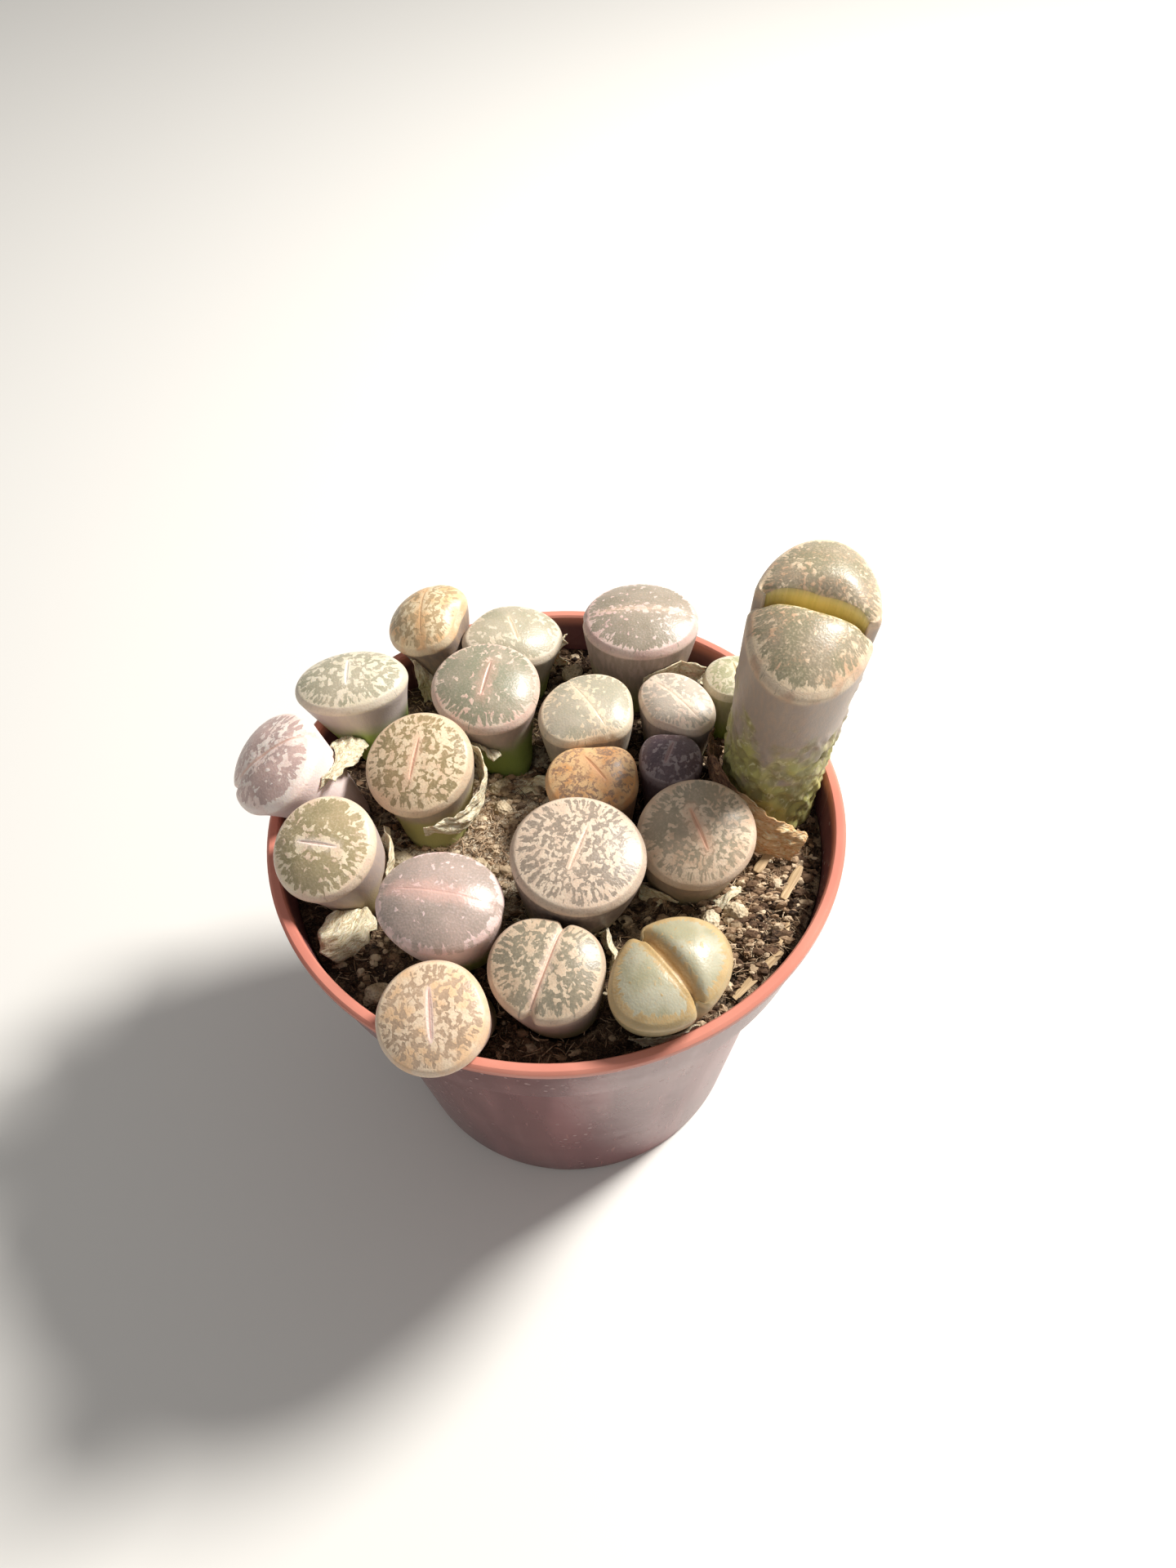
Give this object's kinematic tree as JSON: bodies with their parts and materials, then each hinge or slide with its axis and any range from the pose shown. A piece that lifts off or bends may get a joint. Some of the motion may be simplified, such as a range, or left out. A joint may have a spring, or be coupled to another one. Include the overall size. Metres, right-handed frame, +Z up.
{
  "type": "potted lithops",
  "caption": "Round plastic nursery pot of gritty soil crowded with split-topped living-stone succulents, one much taller than the rest.",
  "frame": {"origin": "centre of the pot's underside, on the surface it rests on", "axes": "+Z up along the pot's axis; +X to the right of the view from the front; -Y towards that view; the tall body stands at +X"},
  "size_m": [0.1305, 0.1219, 0.1438],
  "materials": {
    "pot": "satin terracotta-coloured plastic with dust and water spots",
    "soil": "dark gritty peat and mineral mix",
    "lithops_grey": "waxy grey-green skin with cream islands",
    "lithops_olive": "waxy olive skin with cream islands",
    "lithops_mauve": "waxy mauve-pink skin",
    "lithops_orange": "waxy orange-tan speckled skin",
    "lithops_purple": "waxy dark purple-grey skin",
    "lithops_tall": "waxy grey skin, bumpy lime green below",
    "sheath": "dry papery dead leaf",
    "stone": "rough pale pumice and gravel",
    "straw": "dry fibrous straw"
  },
  "bodies": {
    "root": {"pot": "pot", "soil": "soil", "lithops_01": "lithops_orange", "lithops_02": "lithops_grey", "lithops_03": "lithops_grey", "lithops_04": "lithops_grey", "lithops_05": "lithops_grey", "lithops_06": "lithops_mauve", "lithops_07": "lithops_olive", "lithops_08": "lithops_grey", "lithops_09": "lithops_grey", "lithops_10": "lithops_grey", "lithops_11": "lithops_tall", "lithops_12": "lithops_orange", "lithops_13": "lithops_purple", "lithops_14": "lithops_grey", "lithops_15": "lithops_grey", "lithops_16": "lithops_olive", "lithops_17": "lithops_mauve", "lithops_18": "lithops_grey", "lithops_19": "lithops_grey", "lithops_20": "lithops_olive", "sheath_01": "sheath", "sheath_02": "sheath", "sheath_03": "sheath", "sheath_04": "sheath", "sheath_05": "sheath", "sheath_06": "sheath", "sheath_07": "sheath", "sheath_08": "sheath", "sheath_09": "sheath", "sheath_10": "sheath", "sheath_11": "sheath", "sheath_12": "sheath", "sheath_13": "sheath", "sheath_14": "sheath", "sheath_15": "sheath", "sheath_16": "sheath", "sheath_17": "sheath", "stone_01": "stone", "stone_02": "stone", "stone_03": "stone", "stone_04": "stone", "stone_05": "stone", "stone_06": "stone", "stone_07": "stone", "stone_08": "stone", "stone_09": "stone", "stone_10": "stone", "straw_01": "straw", "straw_02": "straw", "straw_03": "straw", "straw_04": "straw"}
  },
  "joints": []
}
